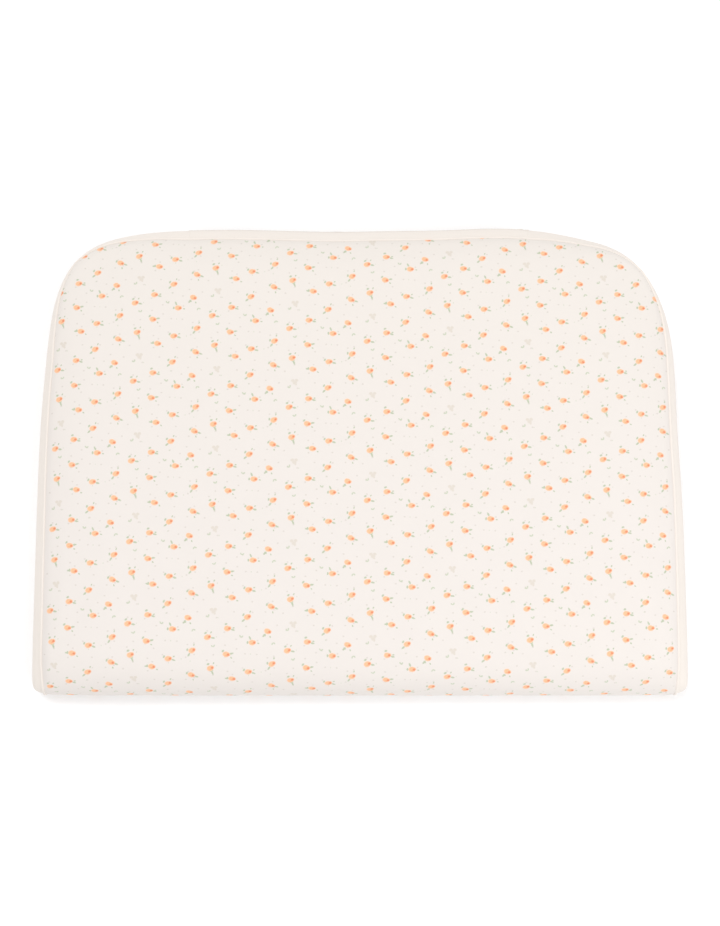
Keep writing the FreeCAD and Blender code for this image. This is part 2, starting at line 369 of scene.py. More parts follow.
top_ids = np.arange((along + 1) * (across + 1)).reshape(along + 1, across + 1)
base_ids = top_ids + top_ids.size
band_ids = np.arange(stations * (up_band + 1)).reshape(stations, up_band + 1) + 2 * top_ids.size
rim = [np.s_[:, 0], np.s_[-1, 1:-1], np.s_[::-1, -1]]
base_ids[0] = top_ids[0]
band_ids[:, -1] = np.concatenate([top_ids[part] for part in rim])
band_ids[:, 0] = np.concatenate([base_ids[part] for part in rim])
band_ids[0] = top_ids[0, 0]
band_ids[-1] = top_ids[0, -1]
skin_points = np.zeros((band_ids.max() + 1, 3))
for ids, places in ((band_ids, band_points), (base_ids, base_points), (top_ids, top_points)):
    skin_points[ids.ravel()] = places.reshape(-1, 3)
skin_faces = [quads(top_ids), quads(base_ids)[:, ::-1], quads(band_ids.T).reshape(-1, 4)[:, ::-1]]


def closed_faces(groups):
    """The faces of every group, with a corner that two points share given once."""
    faces = []
    for face in np.concatenate(groups).tolist():
        corners = list(dict.fromkeys(face))
        if len(corners) > 2:
            faces.append(corners)
    return faces


def used_only(points, faces):
    """Drops the points that no face uses."""
    used = np.unique(np.concatenate([np.array(face) for face in faces]))
    number = np.full(len(points), -1)
    number[used] = np.arange(len(used))
    return points[used], [[int(number[corner]) for corner in face] for face in faces], used


def outward(grid):
    """Unit normals of a grid whose columns run to the right of its rows, seen from outside."""
    normal = np.cross(np.gradient(grid, axis=1), np.gradient(grid, axis=0))
    return normal / np.maximum(np.linalg.norm(normal, axis=-1, keepdims=True), 1e-12)


bag_points, bag_faces, used = used_only(skin_points, closed_faces(skin_faces))
bag = mesh_piece("cover_being_filled", bag_points, bag_faces)
bag_normals = np.zeros(len(bag_points) * 3)
bag.data.vertex_normals.foreach_get("vector", bag_normals)
bag_normals = bag_normals.reshape(-1, 3)


# ---------------------------------------------------------------------------------------------------
# The foam core: one block of cream polyurethane foam, cut to the pad's outline with a flat top and a
# flat base. Its cut faces show their open cells, and its edges are slightly uneven.

core_inset = 0.0062
core_cut_wave = 0.0005
core_low, core_high = (float(corner[2]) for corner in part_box("foam_core"))
core_rear = float(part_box("foam_core")[1][1]) - 0.002


def feed(tree, socket, value):
    """Feeds a socket from another node's socket, or sets it to a plain value."""
    if isinstance(value, bpy.types.NodeSocket):
        tree.links.new(value, socket)
    else:
        socket.default_value = value


def node_in(tree, kind, settings, **choices):
    """A new node with these choices, whose inputs are fed from other nodes or from plain values."""
    node = tree.nodes.new(kind)
    for label, value in choices.items():
        setattr(node, label, value)
    for label, value in settings.items():
        feed(tree, node.inputs[label], value)
    return node


def blend_colours(tree, share, a, b):
    a, b = ((*colour, 1) if isinstance(colour, tuple) else colour for colour in (a, b))
    mix = node_in(tree, "ShaderNodeMix", {}, data_type="RGBA")
    for label, value in (("Factor", share), ("A", a), ("B", b)):
        feed(tree, mix.inputs[label], value)
    return mix.outputs["Result"]


def emboss(tree, shader, height, depth, strength=1.0):
    """Gives a material this relief."""
    settings = {"Strength": strength, "Distance": depth, "Height": height}
    feed(tree, shader.inputs["Normal"], node_in(tree, "ShaderNodeBump", settings).outputs[0])


def on_piece(tree):
    return tree.nodes.new("ShaderNodeTexCoord").outputs["Object"]


def shaded(colour, share):
    return tuple(channel * share for channel in colour)


def grained_material(name, pale, hollow_shade, roughness, texture, scale, depth, stretch=(1, 1, 1)):
    """A soft material whose colour and relief both follow one fine grain over the piece, with painted shade
    that makes the colour darker in the grain's hollows.
    """
    material, tree, shader = new_material(name, {"Roughness": roughness})
    fit = node_in(tree, "ShaderNodeMapping", {"Vector": on_piece(tree), "Scale": stretch})
    grain = node_in(tree, texture, {"Scale": scale, "Vector": fit.outputs[0]})
    level = grain.outputs["Distance" if texture == "ShaderNodeTexVoronoi" else "Fac"]
    # painted shade: the colour goes to the darker one where the grain's relief is low
    feed(tree, shader.inputs["Base Color"], blend_colours(tree, level, hollow_shade, pale))
    emboss(tree, shader, level, depth)
    return material


core_points = bag_points - bag_normals * core_inset
core_points[:, 1] = np.minimum(core_points[:, 1], core_rear)
core_points[:, 2] = np.clip(core_points[:, 2], core_low, core_high)
wave = np.sin(core_points[:, 0] * 61) * np.sin(core_points[:, 1] * 47 + 1)
core_points[:, 2] -= core_cut_wave * (1 + wave) * np.sign(core_points[:, 2] - (core_low + core_high) / 2)
foam_core = mesh_piece("foam_core_block", core_points, bag_faces)
foam_core.data.materials.append(
    grained_material(
        "cut_foam", (0.86, 0.80, 0.62), (0.62, 0.56, 0.40), 0.9, "ShaderNodeTexVoronoi", 900, 0.0006
    )
)
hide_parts("foam_core")
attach(foam_core, "pad")


# ---------------------------------------------------------------------------------------------------
# The two layers of wadding: white polyester batting, one on the foam and one under it, cut with thin
# edges so that the cover comes down smoothly over the foam's edge.

wadding_columns = 90
wadding_rows = 70
wadding_loft = 0.0004
wadding_under_cover = 0.0034
wadding_edge = 0.075


def wadding_layer(node, flat_side):
    """A pillow on the node's own box: domed on one side, and flat where it lies on the foam."""
    low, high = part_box(node)
    outline_low, outline_high = base_flat.min(axis=(0, 1)), base_flat.max(axis=(0, 1))
    picks_y = np.linspace(0, along, wadding_rows).round().astype(int)
    picks_x = np.linspace(0, across, wadding_columns).round().astype(int)
    plan = base_flat[np.ix_(picks_y, picks_x)]
    plan = low[:2] + (plan - outline_low) / (outline_high - outline_low) * (np.array(high[:2]) - low[:2])
    edge = np.concatenate([plan[:, 0], plan[-1, 1:], plan[-2::-1, -1], plan[0, -2::-1]])
    rise = rounded(distance_to(plan, edge), wadding_edge, 2.4)
    tuft = wadding_loft * np.sin(plan[..., 0] * 190 + 3 * np.sin(plan[..., 1] * 83)) * rise
    near, far = (low[2], high[2]) if flat_side == "below" else (high[2], low[2])
    dome = near + (far - near) * rise - np.sign(far - near) * (np.abs(tuft) + wadding_loft * rise)
    sole = np.full(rise.shape, near)
    if flat_side == "below":
        cover = top_points.reshape(-1, 3)
        under = [cover[((row[:, None] - cover[:, :2]) ** 2).sum(-1).argmin(-1), 2] for row in plan]
        dome = np.minimum(dome, np.array(under) - wadding_under_cover)
        sole = np.minimum(sole, dome)
    ids = np.arange(plan.shape[0] * plan.shape[1]).reshape(plan.shape[:2])
    under_ids = ids + ids.size
    under_ids[0], under_ids[-1] = ids[0], ids[-1]
    under_ids[:, 0], under_ids[:, -1] = ids[:, 0], ids[:, -1]
    points = np.zeros((2 * ids.size, 3))
    points[under_ids.ravel()] = np.dstack([plan, sole]).reshape(-1, 3)
    points[ids.ravel()] = np.dstack([plan, dome]).reshape(-1, 3)
    up, down = quads(ids), quads(under_ids)[:, ::-1]
    if flat_side == "above":
        up, down = up[:, ::-1], down[:, ::-1]
    points, faces, _ = used_only(points, closed_faces([up, down]))
    layer = mesh_piece(node + "_batting", points, faces)
    layer.data.materials.append(batting)
    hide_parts(node)
    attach(layer, "pad")


batting = grained_material(
    "polyester_batting",
    (0.93, 0.93, 0.92),
    (0.78, 0.78, 0.77),
    0.95,
    "ShaderNodeTexNoise",
    260,
    0.0012,
    stretch=(1, 3, 1),
)
wadding_layer("wadding_top", "below")
wadding_layer("wadding_base", "above")


# ---------------------------------------------------------------------------------------------------
# The inner case: white coated fabric in two halves, welded together in a narrow lip round the middle
# of the wall. It holds the foam and the wadding, and keeps wet out.

case_inset_wall = 0.0050
case_inset_flat = 0.0016
case_rear = float(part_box("zip_tape_upper")[0][1]) - 0.0033  # behind the zip, with room for the lip
case_thickness = 0.0006
case_lip = 0.0025
case_gap = 0.00015
coated_fabric = grained_material(
    "coated_fabric", (0.90, 0.90, 0.89), (0.80, 0.80, 0.79), 0.45, "ShaderNodeTexNoise", 1500, 0.00015
)


def case_half(name, node, upper):
    """Cuts the set-in form at the middle of the band, and turns its cut edge out into the welded lip."""
    side = 1 if upper else -1
    form = bmesh.new()
    inset = case_inset_wall + (case_inset_flat - case_inset_wall) * np.abs(bag_normals[:, 2:])
    places = bag_points - bag_normals * inset
    places[:, 1] = np.minimum(places[:, 1], case_rear)
    form_points = [form.verts.new(point) for point in places]
    for face in bag_faces:
        form.faces.new([form_points[corner] for corner in face])
    cut_z = mid_band + side * case_gap
    geometry = form.verts[:] + form.edges[:] + form.faces[:]
    bmesh.ops.bisect_plane(
        form, geom=geometry, plane_co=(0, 0, cut_z), plane_no=(0, 0, side), clear_inner=True, dist=1e-6
    )
    rim_edges = [edge for edge in form.edges if edge.is_boundary]
    lip = bmesh.ops.extrude_edge_only(form, edges=rim_edges)["geom"]
    for vertex in [item for item in lip if isinstance(item, bmesh.types.BMVert)]:
        outwards = np.array([vertex.co.x / half_width**2, vertex.co.y / rear_y**2])
        outwards /= np.linalg.norm(outwards)
        vertex.co.x += outwards[0] * case_lip
        vertex.co.y += outwards[1] * case_lip
    bmesh.ops.recalc_face_normals(form, faces=form.faces)
    top_face = max(form.faces, key=lambda face: side * face.calc_center_median().z)
    if top_face.normal.z * side < 0:
        bmesh.ops.reverse_faces(form, faces=form.faces)
    half = mesh_piece(name, [], [])
    form.to_mesh(half.data)
    area = sum(face.calc_area() for face in form.faces)
    form.free()
    half.data.polygons.foreach_set("use_smooth", [True] * len(half.data.polygons))
    thick = half.modifiers.new("thickness", "SOLIDIFY")
    thick.thickness = case_thickness
    thick.offset = -1
    half.data.materials.append(coated_fabric)
    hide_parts(node)
    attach(half, "pad")


case_half("inner_case_top_half", "inner_case_top", upper=True)
case_half("inner_case_base_half", "inner_case_base", upper=False)


# ---------------------------------------------------------------------------------------------------
# The cover as it sits on the filling. It is cut a little small, so the filling blows it out between
# its seams, and the jersey that is eased in along the piping and round the rear corners puckers there.

filling_pressure = 0.6
filling_frames = 18
eased_run = 0.070
most_ease = -0.035
corner_ease_at = (0.30, 0.49)
corner_ease_run = (0.05, 0.08)
side_ease = 0.55
corner_ease = 0.45
band_ease = 0.4
swell_limit = 0.0026
front_swell_limit = 0.0004
zip_held = 0.006

worn_points = skin_points.copy()
held = np.zeros(len(skin_points), bool)
held[base_ids.ravel()] = True
held[band_ids[:, -1]] = True
held[band_ids[:, 0]] = True
at_zip = np.abs(seam_s - rear_middle) < zip_half + zip_held
held[band_ids[at_zip].ravel()] = True
bag.vertex_groups.new(name="held").add(np.flatnonzero(held[used]).tolist(), 1.0, "REPLACE")
ease = np.zeros(len(skin_points))
from_corner_x = (np.abs(top_flat[..., 0]) - corner_ease_at[0]) / corner_ease_run[0]
from_corner_y = (top_flat[..., 1] - corner_ease_at[1]) / corner_ease_run[1]
corner_share = np.exp(-(from_corner_x**2) - from_corner_y**2)
from_seam = distance_to(top_flat, seam_flat)
at_seam = np.clip(1 - from_seam / eased_run, 0, 1)
ease[top_ids.ravel()] = (at_seam * (side_ease + corner_ease * corner_share)).ravel()
ease[band_ids[:, 1:-1].ravel()] = band_ease
eased = bag.vertex_groups.new(name="eased")
for point, weight in enumerate(ease[used]):
    if weight > 0.01:
        eased.add([point], float(weight), "REPLACE")
cloth = bag.modifiers.new("jersey", "CLOTH")
stretchy = cloth.settings
stretchy.quality = 5
stretchy.mass = 0.3
stretchy.air_damping = 2
stretchy.tension_stiffness = 15
stretchy.compression_stiffness = 15
stretchy.shear_stiffness = 8
stretchy.bending_stiffness = 0.3
stretchy.use_pressure = True
stretchy.uniform_pressure_force = filling_pressure
stretchy.effector_weights.gravity = 0
stretchy.vertex_group_mass = "held"
stretchy.vertex_group_shrink = "eased"
stretchy.shrink_min = 0
stretchy.shrink_max = most_ease
cloth.collision_settings.use_collision = False
cloth.point_cache.frame_start = 1
cloth.point_cache.frame_end = filling_frames
for step in range(1, filling_frames + 1):
    bpy.context.scene.frame_set(step)
depsgraph = bpy.context.evaluated_depsgraph_get()
filled = bpy.data.meshes.new_from_object(bag.evaluated_get(depsgraph))
blown = np.zeros(len(bag_points) * 3)
filled.vertices.foreach_get("co", blown)
moved = blown.reshape(-1, 3) - bag_points
size = np.linalg.norm(moved, axis=1, keepdims=True)
behind_roll = np.clip((bag_points[:, 1:2] - front_y - front_roll / 2) / front_roll, 0, 1)
limit = front_swell_limit + (swell_limit - front_swell_limit) * behind_roll
worn_points[used] = bag_points + moved * limit / np.hypot(limit, size)
bpy.data.meshes.remove(filled)
bpy.context.scene.frame_set(1)
bpy.data.objects.remove(bag)
worn_top = worn_points[top_ids]
worn_base = worn_points[base_ids]
worn_band = worn_points[band_ids]


# ---------------------------------------------------------------------------------------------------
# The top panel: one piece of printed cotton jersey that runs from the base seam, up over the front
# roll and across the top to the piping. Its edges are turned in at the seams.

jersey_thickness = 0.0010
turned_in = 0.0022
crease = 0.0008  # from a seam to the row of cloth that keeps its crease tight
subdivisions = 1


def turn_edges_in(grid, normal, depths, layout):
    """Turns the cloth in at right angles along the first and the last row, where a depth is given."""
    for last, depth in enumerate(depths):
        if last:
            grid, normal, layout = grid[::-1], normal[::-1], layout[::-1]
        if depth:
            step = grid[1:2] - grid[:1]
            share = np.clip(crease / np.maximum(np.linalg.norm(step, axis=-1, keepdims=True), 1e-9), 0, 0.4)
            near = grid[:1] + step * share
            near_layout = layout[:1] + (layout[1:2] - layout[:1]) * share
            grid = np.concatenate([grid[:1] - normal[:1] * depth, grid[:1], near, grid[1:]])
            layout = np.concatenate([layout[:1], layout[:1], near_layout, layout[1:]])
            normal = np.concatenate([normal[:1], normal[:1], normal[:1], normal[1:]])
        if last:
            grid, normal, layout = grid[::-1], normal[::-1], layout[::-1]
    return grid, normal, layout


def cloth_panel(name, grid, flat, row_depths=None, column_depths=None):
    """A panel of cloth from a grid of places, with its own flat pattern as its UV map, in metres."""
    row_depths = row_depths or (turned_in, turned_in)
    column_depths = column_depths or (turned_in, turned_in)
    layout = np.concatenate([flat, np.zeros_like(flat[..., :1])], axis=-1)
    grid, normal, layout = turn_edges_in(grid, outward(grid), row_depths, layout)
    grid, normal, layout = (rows.transpose(1, 0, 2) for rows in (grid, normal, layout))
    grid, _, layout = turn_edges_in(grid, normal, column_depths, layout)
    grid, layout = grid.transpose(1, 0, 2), layout.transpose(1, 0, 2)
    ids = np.arange(grid.shape[0] * grid.shape[1]).reshape(grid.shape[:2])
    panel = mesh_piece(name, grid.reshape(-1, 3), quads(ids))
    uv = panel.data.uv_layers.new(name="cloth")
    corners = np.zeros(len(panel.data.loops), int)
    panel.data.loops.foreach_get("vertex_index", corners)
    uv.data.foreach_set("uv", layout.reshape(-1, 3)[corners, :2].astype(np.float32).ravel())
    return panel


def sew_up(panel, thickness, levels):
    """Gives a panel its subdivision and then its thickness, inwards."""
    if levels:
        fine = panel.modifiers.new("fine", "SUBSURF")
        fine.levels = levels
        fine.render_levels = levels
    thick = panel.modifiers.new("thickness", "SOLIDIFY")
    thick.thickness = thickness
    thick.offset = -1


top_panel = cloth_panel("top_panel_cloth", worn_top, top_flat)
sew_up(top_panel, jersey_thickness, subdivisions)


# The printed jersey. Every motif is placed by a rule: the print repeats every 84 by 87 millimetres, in
# cells whose motif is shifted, turned and varied by that cell's own number.

print_repeat = (84.0, 87.0)
row_lean = 0.17  # the rows of motifs run down to the right


def sum_of(tree, operation, a, b=0.0, c=0.0, clamp=False):
    node = node_in(tree, "ShaderNodeMath", {}, operation=operation, use_clamp=clamp)
    for socket, value in zip(node.inputs, (a, b, c)):
        feed(tree, socket, value)
    return node.outputs[0]


def vector_of(tree, operation, a, b=(0, 0, 0)):
    node = node_in(tree, "ShaderNodeVectorMath", {}, operation=operation)
    for socket, value in zip(node.inputs, (a, b)):
        feed(tree, socket, value)
    return node.outputs["Value" if operation == "LENGTH" else "Vector"]


def sums_in(tree):
    """Adding, taking away, multiplying and dividing in this tree."""
    return [partial(sum_of, tree, operation) for operation in ("ADD", "SUBTRACT", "MULTIPLY", "DIVIDE")]


def parts_of(tree, vector):
    return node_in(tree, "ShaderNodeSeparateXYZ", {"Vector": vector}).outputs


def vector_from(tree, x, y, z=0.0):
    return node_in(tree, "ShaderNodeCombineXYZ", {"X": x, "Y": y, "Z": z}).outputs[0]


def noise_in(tree, place, scale, detail=2.0):
    return node_in(tree, "ShaderNodeTexNoise", {"Vector": place, "Scale": scale, "Detail": detail})


def scatter(tree, millimetres, columns, rows, jitter, seed, half_drop=False):
    """Cells of the repeat. Returns the place from the cell's motif, in mm, and three random numbers."""
    add, less, times, over = sums_in(tree)
    width, height = print_repeat[0] / columns, print_repeat[1] / rows
    across_cloth, along_cloth, _ = parts_of(tree, millimetres)
    column = sum_of(tree, "FLOOR", over(across_cloth, width))
    x = less(across_cloth, times(add(column, 0.5), width))
    y = add(along_cloth, times(column, width * row_lean))
    if half_drop:
        y = add(y, times(sum_of(tree, "FLOORED_MODULO", column, 2.0), height / 2))
    row = sum_of(tree, "FLOOR", over(y, height))
    y = less(y, times(add(row, 0.5), height))
    counts = ((column, float(columns)), (row, float(rows)))
    in_repeat = [sum_of(tree, "FLOORED_MODULO", *count) for count in counts]
    cell = vector_from(tree, *in_repeat, seed)
    other_cell = vector_of(tree, "ADD", cell, (7.0, 11.0, 3.0))
    first, second = (
        node_in(tree, "ShaderNodeTexWhiteNoise", {"Vector": number}, noise_dimensions="3D").outputs["Color"]
        for number in (cell, other_cell)
    )
    shift = vector_of(tree, "MULTIPLY", vector_of(tree, "SUBTRACT", first, (0.5, 0.5, 0.5)), jitter)
    flat_shift = vector_of(tree, "MULTIPLY", shift, (1, 1, 0))
    local = vector_of(tree, "SUBTRACT", vector_from(tree, x, y), flat_shift)
    chance = tree.nodes.new("ShaderNodeSeparateColor")
    feed(tree, chance.inputs[0], second)
    return local, chance.outputs, cell


def turned(tree, place, angle):
    settings = {"Vector": place, "Angle": angle}
    return node_in(tree, "ShaderNodeVectorRotate", settings, rotation_type="Z_AXIS").outputs[0]


def dab(tree, place, centre, radii, softness):
    """A soft oval dab of dye: 1 inside, 0 outside, with an edge this soft, as a share of its size."""
    away = vector_of(tree, "SUBTRACT", place, (*centre, 0))
    size = vector_of(tree, "LENGTH", vector_of(tree, "DIVIDE", away, (*radii, 1)))
    settings = {"Value": size, "From Min": 1 + softness, "From Max": 1 - softness}
    return node_in(tree, "ShaderNodeMapRange", settings, interpolation_type="SMOOTHSTEP").outputs[0]


def any_of(tree, *shares):
    total = shares[0]
    for share in shares[1:]:
        total = sum_of(tree, "MAXIMUM", total, share)
    return total


def knit_height(tree, millimetres, wale, course):
    """The relief of fine jersey: upright ribs of small V stitches."""
    add, _, times, over = sums_in(tree)
    across_cloth, along_cloth, _ = parts_of(tree, millimetres)
    zigzag = sum_of(tree, "PINGPONG", over(along_cloth, course), 0.5)
    rib = add(over(across_cloth, wale), times(zigzag, 0.35))
    return sum_of(tree, "ABSOLUTE", sum_of(tree, "SINE", times(rib, math.pi)))


def jersey(name, ground, printed):
    """Cream cotton jersey, plain or with the sprig print."""
    settings = {"Roughness": 0.88, "Sheen Weight": 0.12, "Sheen Roughness": 0.5, "Specular IOR Level": 0.2}
    material, tree, shader = new_material(name, settings)
    add, _, times, _ = sums_in(tree)
    cloth_map = node_in(tree, "ShaderNodeUVMap", {}, uv_map="cloth").outputs[0]
    millimetres = vector_of(tree, "MULTIPLY", cloth_map, (1000, 1000, 0))
    uneven = noise_in(tree, millimetres, 0.03, 3.0).outputs["Fac"]
    slub = noise_in(tree, millimetres, 1.4).outputs["Fac"]
    colour = blend_colours(tree, uneven, ground, shaded(ground, 0.965))
    if printed:
        # painted shade: the print's ground is blended darker and warmer towards the rear of the cloth, where
        # the light falls off
        rear_shade = sum_of(tree, "MULTIPLY_ADD", parts_of(tree, cloth_map)[1], 2.9, -0.62, clamp=True)
        colour = blend_colours(tree, times(rear_shade, 0.75), colour, rear_shade_cream)
    colour = blend_colours(tree, times(slub, 0.35), colour, shaded(ground, 0.93))
    if printed:
        colour = sprig_print(tree, millimetres, colour)
    feed(tree, shader.inputs["Base Color"], colour)
    emboss(tree, shader, add(knit_height(tree, millimetres, 0.95, 0.8), slub), 0.00018, 0.22)
    return material


bud_light = (0.955, 0.590, 0.352)
bud_peach = (0.930, 0.450, 0.235)
bud_heart = (0.760, 0.190, 0.085)
leaf_green = (0.420, 0.500, 0.330)
curl_green = (0.520, 0.580, 0.430)
dot_stone = (0.660, 0.610, 0.560)
blossom_stone = (0.690, 0.625, 0.545)


def sprig_print(tree, millimetres, ground):
    """Peach buds with small green leaves, a pale blossom once in each repeat, curls and tiny dots."""
    add, less, times, over = sums_in(tree)
    wobble = noise_in(tree, millimetres, 0.7).outputs["Color"]
    stir = vector_of(tree, "SUBTRACT", wobble, (0.5, 0.5, 0.5))
    brushed = vector_of(tree, "ADD", millimetres, vector_of(tree, "MULTIPLY", stir, (1.1, 1.1, 0)))
    colour = ground

    # tiny dots, stone and green
    for columns, rows, jitter, seed, rare, radii, softness, strength, dye in (
        (8, 6, (7, 11, 0), 41.0, 0.25, (1.0, 0.8), 0.5, 0.75, dot_stone),
        (6, 5, (9, 12, 0), 57.0, 0.45, (0.5, 0.75), 0.45, 0.5, curl_green),
    ):
        place, chance, _ = scatter(tree, brushed, columns, rows, jitter, seed)
        seen = sum_of(tree, "GREATER_THAN", chance[0], rare)
        dot = times(dab(tree, place, (0, 0), radii, softness), seen)
        colour = blend_colours(tree, times(dot, strength), colour, dye)

    # green curls: most of a small ring, open at one side
    place, chance, _ = scatter(tree, brushed, 3, 3, (17, 18, 0), 23.0)
    place = turned(tree, place, times(chance[1], math.tau))
    ring = sum_of(tree, "ABSOLUTE", less(vector_of(tree, "LENGTH", place), 1.45))
    ring = less(1.3, over(ring, 0.8), clamp=True)
    open_side = sum_of(tree, "LESS_THAN", parts_of(tree, place)[0], 0.2)
    seen = times(sum_of(tree, "GREATER_THAN", chance[0], 0.45), open_side)
    colour = blend_colours(tree, times(times(ring, seen), 0.85), colour, curl_green)

    # buds and their leaves, four columns by three rows
    place, chance, cell = scatter(tree, brushed, 4, 3, (8, 9.5, 0), 5.0, half_drop=True)
    cell_number = vector_of(tree, "LENGTH", vector_of(tree, "MULTIPLY", cell, (1, 1, 0)))
    is_blossom = sum_of(tree, "LESS_THAN", cell_number, 0.5)
    is_bud = less(1.0, is_blossom)
    bud_place = turned(tree, place, times(less(chance[0], 0.35), 0.9))
    leaves = []
    for turn, distance, radii in (
        (times(chance[1], math.tau), 5.6, (2.1, 0.95)),
        (add(times(chance[2], 2.4), 2.2), 5.0, (1.0, 1.5)),
        (add(times(chance[0], 3.0), 5.0), 6.3, (1.1, 0.7)),
    ):
        leaves.append(dab(tree, turned(tree, place, turn), (distance, 0.0), radii, 0.4))
    leaf = times(any_of(tree, *leaves), is_bud)
    colour = blend_colours(tree, times(leaf, 0.78), colour, leaf_green)
    body = any_of(
        tree,
        dab(tree, bud_place, (-0.3, 0), (3.5, 2.9), 0.22),
        dab(tree, bud_place, (1.5, 0.4), (2.4, 2.2), 0.25),
    )
    strokes = noise_in(tree, bud_place, 0.55, 3.0).outputs["Fac"]
    heart = any_of(
        tree,
        dab(tree, bud_place, (1.9, 0.1), (1.4, 1.2), 0.55),
        times(dab(tree, bud_place, (0.2, -1.2), (1.6, 0.45), 0.5), 0.45),
    )
    petal = blend_colours(tree, strokes, bud_light, bud_peach)
    petal = blend_colours(tree, times(heart, 0.85), petal, bud_heart)
    colour = blend_colours(tree, times(times(body, is_bud), 0.93), colour, petal)

    # the pale blossom: a loose clump of round petals
    petals = []
    for petal_centre, petal_radii in (
        ((-2.0, 1.5), (2.0, 1.6)),
        ((2.0, 1.7), (1.8, 1.6)),
        ((0.2, -0.8), (2.3, 2.0)),
        ((1.4, -2.9), (1.1, 1.0)),
    ):
        petals.append(dab(tree, place, petal_centre, petal_radii, 0.35))
    blossom = times(any_of(tree, *petals), is_blossom)
    return blend_colours(tree, times(blossom, 0.72), colour, blossom_stone)


cream = (0.815, 0.763, 0.724)
rear_shade_cream = (0.802, 0.750, 0.694)  # painted shade: the printed cloth is made a little darker and warmer towards the rear, where the light falls off
printed_jersey = jersey("printed_jersey", cream, printed=True)
top_panel.data.materials.append(printed_jersey)
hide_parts("top_panel")
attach(top_panel, "pad")


# ---------------------------------------------------------------------------------------------------
# The base panel: plain cream jersey, flat on the ground, sewn to the top panel along the front and to
# the band round the other three sides.

plain_jersey = jersey("plain_jersey", (0.860, 0.797, 0.738), printed=False)
base_panel = cloth_panel("base_panel_cloth", worn_base[:, ::-1], base_flat[:, ::-1])
sew_up(base_panel, jersey_thickness, 0)
base_panel.data.materials.append(plain_jersey)
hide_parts("base_panel")
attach(base_panel, "pad")


# ---------------------------------------------------------------------------------------------------
# The side bands: one plain strip from each front corner round to the zip, sewn to the piping above and
# to the base below. Each ends at the zip in an upright seam.

band_height = np.zeros((stations, up_band + 1))
band_height[:, 1:] = np.cumsum(np.linalg.norm(np.diff(band_points, axis=1), axis=2), axis=1)
band_flat = np.stack([np.repeat(seam_s[:, None], up_band + 1, axis=1), band_height], axis=-1)
zip_lap = 0.0008  # the bands lap this far over the ends of the zip strips
zip_ends = {"left": rear_middle - zip_half + zip_lap, "right": rear_middle + zip_half - zip_lap}
zip_end_depth = 0.0060  # closes the opening's ends as far as the tapes


def end_at(s):
    """The worn band and its flat pattern as they are at one place along the wall, between two stations."""
    after = int(np.searchsorted(seam_s, s))
    share = (s - seam_s[after - 1]) / (seam_s[after] - seam_s[after - 1])
    return [(1 - share) * rows[after - 1] + share * rows[after] for rows in (worn_band, band_flat)]


end_gap = 0.001  # the least between a band's cut end and its next row
for side, end in zip_ends.items():
    end_grid, end_flat = (rows[None] for rows in end_at(end))
    if side == "left":
        run = np.flatnonzero(seam_s < end - end_gap)
        grid, flat = np.concatenate([worn_band[run], end_grid]), np.concatenate([band_flat[run], end_flat])
        depths = (turned_in, zip_end_depth)
    else:
        run = np.flatnonzero(seam_s > end + end_gap)
        grid, flat = np.concatenate([end_grid, worn_band[run]]), np.concatenate([end_flat, band_flat[run]])
        depths = (zip_end_depth, turned_in)
    band = cloth_panel(f"side_band_{side}_cloth", grid, flat, row_depths=depths)
    sew_up(band, jersey_thickness, subdivisions)
    band.data.materials.append(plain_jersey)
    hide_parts(f"side_band_{side}")
    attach(band, "pad")


# ---------------------------------------------------------------------------------------------------
# The zip strips: two folded strips of the same jersey, one above the zip and one below it. Each is
# sewn to its zip tape beside its fold, and leaves the coils clear.

strip_columns = 130
strip_rows = 8
strip_fold_depth = 0.0017
strip_fold_back = 0.0070
strip_ripple = 0.00016
strip_ripple_reach = 0.008
strip_thickness = 0.0005
strip_s = np.linspace(rear_middle - zip_half, rear_middle + zip_half, strip_columns)
opening_low = float(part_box("zip_strip_lower")[1][2])
opening_high = float(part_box("zip_strip_upper")[0][2])


def zip_strip(name, node, fold_z, seam_z_value):
    """From the seam to the fold, round it, and back behind the strip's own face."""
    away = math.copysign(1, seam_z_value - fold_z)
    heights = list(fold_z + (seam_z_value - fold_z) * np.linspace(1, 0.02, strip_rows) ** 1.3)
    radius = strip_fold_depth / 2
    depths = [0.0] * strip_rows
    for turn in np.radians([30, 60, 90, 120, 150]):
        heights.append(fold_z + away * radius * (1 - math.sin(turn)))
        depths.append(radius * (1 - math.cos(turn)))
    for back in (0.25, 0.6, 1.0):
        heights.append(fold_z + away * (radius + strip_fold_back * back))
        depths.append(strip_fold_depth)
    rows = []
    for height, depth in zip(heights, depths):
        place = wall_point(strip_s, np.full(strip_columns, height), seam_height - height)
        ripple = strip_ripple * np.sin(strip_s * 410 + 2.2 * np.sin(strip_s * 57))
        place[:, 1] -= depth + ripple * (abs(height - fold_z) < strip_ripple_reach)
        rows.append(place)
    grid = np.stack(rows, axis=1)
    lengths_down = lengths(grid.mean(axis=0))
    flat = np.stack(np.broadcast_arrays(strip_s[:, None], -away * lengths_down[None]), axis=-1)
    if away > 0:
        grid, flat = grid[:, ::-1], flat[:, ::-1]
    strip = cloth_panel(name, grid, flat, column_depths=(0, turned_in) if away > 0 else (turned_in, 0))
    sew_up(strip, strip_thickness, subdivisions)
    strip.data.materials.append(plain_jersey)
    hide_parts(node)
    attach(strip, "pad")


zip_strip("zip_strip_upper_cloth", "zip_strip_upper", opening_high, seam_height)
zip_strip("zip_strip_lower_cloth", "zip_strip_lower", opening_low, base_seam_height)


# ---------------------------------------------------------------------------------------------------
# The piping: a thin cord in a bias strip of the same jersey, sewn in between the top panel and the band
# from one front corner round to the other. It runs a little unevenly, as a hand-fed edge does.

piping_radius = 0.0015
piping_out = 0.0001
piping_sides = 12
piping_step = 0.004
bias = 0.7  # the strip is cut at 45 degrees to the knit

